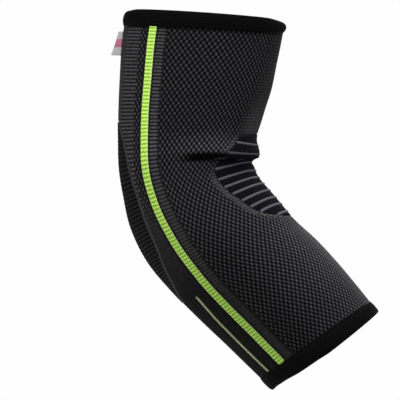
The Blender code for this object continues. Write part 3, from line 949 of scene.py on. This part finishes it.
def thread(points, radii):
    """A closed thread's points and faces along a short path, in metres."""
    tangent = np.gradient(points, axis=0)
    tangent /= np.linalg.norm(tangent, axis=1, keepdims=True)
    sideways = np.cross(tangent, (0.3, 0.8, 0.52))
    sideways /= np.linalg.norm(sideways, axis=1, keepdims=True)
    upward = np.cross(tangent, sideways)
    turns = np.arange(THREAD_SIDES)[None, :, None] * 2.0 * math.pi / THREAD_SIDES
    spokes = np.cos(turns) * sideways[:, None, :] + np.sin(turns) * upward[:, None, :]
    rings = points[:, None, :] + radii[:, None, None] * spokes
    count = len(points) * THREAD_SIDES
    faces = quads(len(points), THREAD_SIDES, closed_round=True, flip=True).tolist()
    faces += [list(range(THREAD_SIDES))[::-1], list(range(count - THREAD_SIDES, count))]
    return rings.reshape(-1, 3), faces


def make_stitches(name, paths, thickness, material):
    """Many short stitches as one piece. Its UV map only makes the yarn vary."""
    points, faces = [], []
    count = 0
    for path in paths:
        some_points, some_faces = thread(path, thickness / 2 * STITCH_THICKNESS * MM)
        faces += [[count + corner for corner in face] for face in some_faces]
        points.append(some_points)
        count += len(some_points)
    corners = np.arange(sum(len(face) for face in faces))
    uv = np.stack([corners % 7, corners % 5], axis=-1)
    return new_piece(name, np.concatenate(points), faces, uv, material)


def make_cuff_stitches(name, at_forearm, material):
    """A row of sewn stitches right round the cuff, each dipping into the cloth at both ends."""
    spacing = 360.0 / STITCHES_ROUND
    lift = (FOREARM_STITCH_LIFT if at_forearm else UPPER_STITCH_LIFT) + STITCH_HEIGHT
    paths = []
    for i in range(STITCHES_ROUND):
        turns = (i + 0.5) * spacing + STITCH_ALONG * spacing * STITCH_HALF_SHARE
        paths.append(skin(cuff_along(STITCH_SHARE, turns, at_forearm), turns, lift))
    return make_stitches(name, paths, CUFF_THREAD, material)


def make_seam(material):
    """The back seam: two rows of slanting overlock stitches side by side."""
    paths = []
    for place in np.arange(SEAM_START, SEAM_END, SEAM_PITCH):
        for shift in (-SEAM_SHIFT, SEAM_SHIFT):
            along = place + STITCH_ALONG * SEAM_STITCH_HALF
            degrees = SEAM_BACK_ANGLE - 180.0 + shift + STITCH_ALONG * shift * SEAM_STITCH_LEAN
            paths.append(skin(along, degrees, SEAM_STITCH_LIFT + STITCH_HEIGHT))
    return make_stitches("back_seam_stitches", paths, SEAM_THREAD, material)


def make_label_stitches(material):
    """The stitches along the label's sewn edge."""
    start, end = TAG_TOP + TAG_STITCH_START, TAG_TOP + TAG_HEIGHT - TAG_STITCH_END
    turn = TAG_BACK_ANGLE - 180.0 + TAG_STITCH_INSET
    paths = []
    for place in np.arange(start, end, TAG_STITCH_PITCH):
        paths.append(skin(place + STITCH_ALONG * TAG_STITCH_HALF, turn, TAG_STITCH_LIFT + STITCH_HEIGHT))
    return make_stitches("label_stitches", paths, LABEL_THREAD, material)


def label_frame(steps):
    """For each step down the label: its sewn edge, its way out from the sleeve, and its face's direction."""
    turn = TAG_BACK_ANGLE - 180.0
    top = skin(TAG_TOP, turn, TAG_LIFT)
    down = skin(TAG_TOP + TAG_HEIGHT, turn, TAG_LIFT) - top
    outward = top - skin(TAG_TOP, turn)
    outward /= np.linalg.norm(outward)
    round_back = skin(TAG_TOP, turn - 1.0, TAG_LIFT) - top
    round_back /= np.linalg.norm(round_back)
    opened = np.radians(TAG_OPEN_TOP + (TAG_OPEN_BOTTOM - TAG_OPEN_TOP) * steps)[:, None]
    reach = round_back * np.cos(opened) + outward * np.sin(opened)
    face = np.cross(down, reach)
    return top + down * steps[:, None], reach, face / np.linalg.norm(face, axis=1, keepdims=True)


def fold_outline(reach, half):
    """A folded strip's section as (way out, way to the side): out to the fold, round it, and back."""
    outward = [(float(out), half) for out in np.linspace(0.0, reach, 14)]
    turns = np.radians((60.0, 30.0, 0.0, -30.0, -60.0))
    fold = [(reach + half * math.cos(turn), half * math.sin(turn)) for turn in turns]
    return outward + fold + [(out, -half) for out, _ in outward[::-1]]


def make_label(material):
    """A blank woven tag, folded over at its free end, opening further toward its lower end."""
    steps = np.linspace(0.0, 1.0, 17)
    sewn, reach, face = label_frame(steps)
    half = TAG_THICKNESS / 2
    outline = fold_outline(TAG_REACH - half, half) + fold_outline(TAG_REACH - half, TAG_GAP / 2)[::-1]
    outline.append(outline[0])
    points = np.empty((len(outline), len(steps), 3))
    for row, (out, side) in enumerate(outline):
        curl = TAG_CURL * (out / TAG_REACH) ** 2
        bow = TAG_BOW * np.sin(math.pi * steps) * out / TAG_REACH
        points[row] = sewn + reach * out * MM + face * ((side + curl + bow) * MM)[:, None]
    v, u = np.meshgrid([out for out, _ in outline], steps * TAG_HEIGHT, indexing="ij")
    rows, columns = len(outline) - 1, len(steps)
    faces = quads(rows + 1, columns, closed_round=False, flip=True) % (rows * columns)
    ends = [list(range(0, rows * columns, columns)), list(range(rows * columns - 1, 0, -columns))]
    uv = np.concatenate([grid_uv(u, v, flip=True), np.zeros((2 * rows, 2))])
    return new_piece("blank_label", points[:-1], faces.tolist() + ends, uv, material)


# What each piece stands for, and the body that carries some of them


def bend(piece, slot, *nodes):
    """Bakes the piece's place into its mesh, and hides these CAD nodes, which it stands for."""
    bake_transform(piece)
    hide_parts(*nodes)
    return piece


def carry(piece, body, slot, *nodes):
    """The piece moves with one body, and stands for these CAD nodes."""
    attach(piece, body)
    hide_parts(*nodes)
    return piece


def make_sleeve():
    """The knit, its panels and its trims. Returns the knit and everything on it."""
    knit = make_knit(dotted_knit_material())
    bend(
        knit,
        "dotted_knit",
        "upper_arm_knit",
        "forearm_knit",
        "crook_knit",
        "back_knit_outer",
        "back_knit_inner",
        "elbow_side_outer",
        "elbow_side_inner",
    )
    ribs = (CROOK_RIB_PITCH, CROOK_RIB_SLANT)
    cloth = ribbed_material("crook_cloth", (0.0036, 0.0032, 0.0050), (0.0008, 0.0007, 0.0013), *ribs)
    crook = make_panel("crook_panel", CROOK_PANEL, 0.0, cloth, *ribs)
    bend(crook, "ribbed_knit", "crook_rib_panel")
    ribs = (BACK_RIB_PITCH, BACK_RIB_SLANT)
    cloth = ribbed_material("back_cloth", (0.0082, 0.0082, 0.0085), (0.0, 0.0, 0.0), *ribs)
    back = make_panel("back_panel", BACK_PANEL, 180.0, cloth, *ribs)
    bend(back, "ribbed_knit", "back_panel_upper", "back_panel_elbow", "back_panel_forearm")
    on_knit = [crook, back]

    grey_line = yarn_material("rib_line", (0.046, 0.045, 0.050), (0.023, 0.022, 0.025), 1.2)
    dim_line = yarn_material("dim_rib_line", (0.030, 0.029, 0.033), (0.014, 0.0135, 0.0155), 1.2)
    for number, place in enumerate(CROOK_RIBS, start=1):
        rib = make_crook_rib(number, *place, dim_line if number == DIM_RIB else grey_line)
        on_knit.append(bend(rib, "rib_line", f"crook_rib_{number:02d}"))

    lime = stripe_material()
    pale = yarn_material("pale_lime", (0.155, 0.167, 0.095), (0.083, 0.09, 0.05), 1.6)
    border = yarn_material("border_line", (0.022, 0.022, 0.0235), (0.012, 0.012, 0.013), 1.6)
    accent_shape = (ACCENT, ACCENT_SPAN, ACCENT_HALF, ACCENT_LIFTS)
    border_shape = (BACK_PANEL, (BACK_PANEL[0][0], BACK_PANEL[-1][0]), BORDER_HALF, BORDER_LIFTS)
    parts = ("upper", "elbow", "forearm")
    for side_name, side in (("outer", -1.0), ("inner", 1.0)):
        stripe = make_stripe(f"lime_stripe_{side_name}", side, lime)
        on_knit.append(bend(stripe, "lime_stripe", *[f"{part}_stripe_{side_name}" for part in parts]))
        accent = make_line(f"pale_line_{side_name}", side, *accent_shape, pale)
        on_knit.append(bend(accent, "pale_lime", f"forearm_accent_{side_name}"))
        edge = make_line(f"panel_border_{side_name}", side, *border_shape, border)
        on_knit.append(bend(edge, "rib_line", *[f"back_border_{part}_{side_name}" for part in parts]))

    seam_thread = yarn_material("seam_thread", (0.06, 0.06, 0.063), (0.03, 0.03, 0.031), 1.0)
    on_knit.append(carry(make_seam(seam_thread), "upper_arm", "thread", "upper_back_seam"))
    return knit, on_knit


def make_cuffs():
    """Both cuffs, each with its stitches and the elastic inside it."""
    cloth = ribbed_material("cuff_cloth", (0.0020, 0.0020, 0.0021), (0.0008, 0.0008, 0.0009), 0.9)
    yarn = yarn_material("cuff_thread", (0.006, 0.006, 0.0065), (0.003, 0.003, 0.003), 1.0)
    rubber = ribbed_material("cuff_rubber", (0.30, 0.30, 0.31), (0.20, 0.20, 0.21), 0.8)
    made = []
    for end, at_forearm, body in (("upper", False, "upper_arm"), ("forearm", True, "forearm")):
        cuff = make_cuff(f"{end}_cuff", at_forearm, cloth)
        stitches = make_cuff_stitches(f"{end}_cuff_stitches", at_forearm, yarn)
        elastic = make_elastic(f"{end}_elastic_band", at_forearm, rubber)
        made.append(carry(cuff, body, "binding", f"{end}_cuff_binding"))
        made.append(carry(stitches, body, "thread", f"{end}_cuff_stitching"))
        made.append(carry(elastic, body, "elastic", f"{end}_cuff_elastic"))
    return made


def make_floor():
    """A pale floor well below the held sleeve."""
    reach, height = FLOOR_REACH, FLOOR_HEIGHT
    sides = ((-reach, -reach), (reach, -reach), (reach, reach), (-reach, reach))
    corners = [(x, y, height) for x, y in sides]
    mesh = bpy.data.meshes.new("floor")
    mesh.from_pydata(corners, [], [(0, 1, 2, 3)])
    paint = bpy.data.materials.new("floor")
    paint.use_nodes = True
    shader = paint.node_tree.nodes["Principled BSDF"]
    shader.inputs["Base Color"].default_value = (0.82, 0.82, 0.82, 1.0)
    shader.inputs["Roughness"].default_value = 0.9
    mesh.materials.append(paint)
    floor = bpy.data.objects.new("floor", mesh)
    bpy.context.scene.collection.objects.link(floor)
    return floor


def add_lamp(name, place, size, power):
    """A square lamp that shines at the sleeve."""
    lamp = bpy.data.lights.new(name, "AREA")
    lamp.size = size
    lamp.energy = power
    light = bpy.data.objects.new(name, lamp)
    light.location = place
    light.rotation_euler = (-light.location).to_track_quat("-Z", "Y").to_euler()
    bpy.context.scene.collection.objects.link(light)


def make_light():
    """Soft white light from all round, and the lamps."""
    world = bpy.data.worlds.new("soft_white")
    world.use_nodes = True
    world.node_tree.nodes["Background"].inputs[0].default_value = (0.99, 0.99, 0.99, 1.0)
    bpy.context.scene.world = world
    for lamp in LAMPS:
        add_lamp(*lamp)
    bpy.context.scene.view_settings.view_transform = "Standard"


def make_camera():
    """Looks along +Y at the sleeve's outer side, rolled a little so that the upper arm leans."""
    roll = math.radians(VIEW_ROLL)
    distance = VIEW_WIDTH * LENS / SENSOR
    right = (math.cos(roll), 0.0, math.sin(roll))
    up = (-math.sin(roll), 0.0, math.cos(roll))
    place = (VIEW_MIDDLE[0], -distance, VIEW_MIDDLE[1])
    data = bpy.data.cameras.new("camera")
    data.lens = LENS
    data.sensor_width = SENSOR
    camera = bpy.data.objects.new("camera", data)
    rows = zip(right, up, (0.0, -1.0, 0.0), place)
    camera.matrix_world = Matrix([*rows, (0.0, 0.0, 0.0, 1.0)])
    bpy.context.scene.collection.objects.link(camera)
    bpy.context.scene.camera = camera


def main():
    knit, on_knit = make_sleeve()
    on_knit += make_cuffs()
    label = make_label(label_material())
    carry(label, "label", "label", "label_tag")
    yarn = yarn_material("label_thread", (0.03, 0.03, 0.032), (0.015, 0.015, 0.016), 1.0)
    stitches = make_label_stitches(yarn)
    carry(stitches, "upper_arm", "thread", "label_stitching")
    floor = make_floor()
    make_light()
    make_camera()


main()
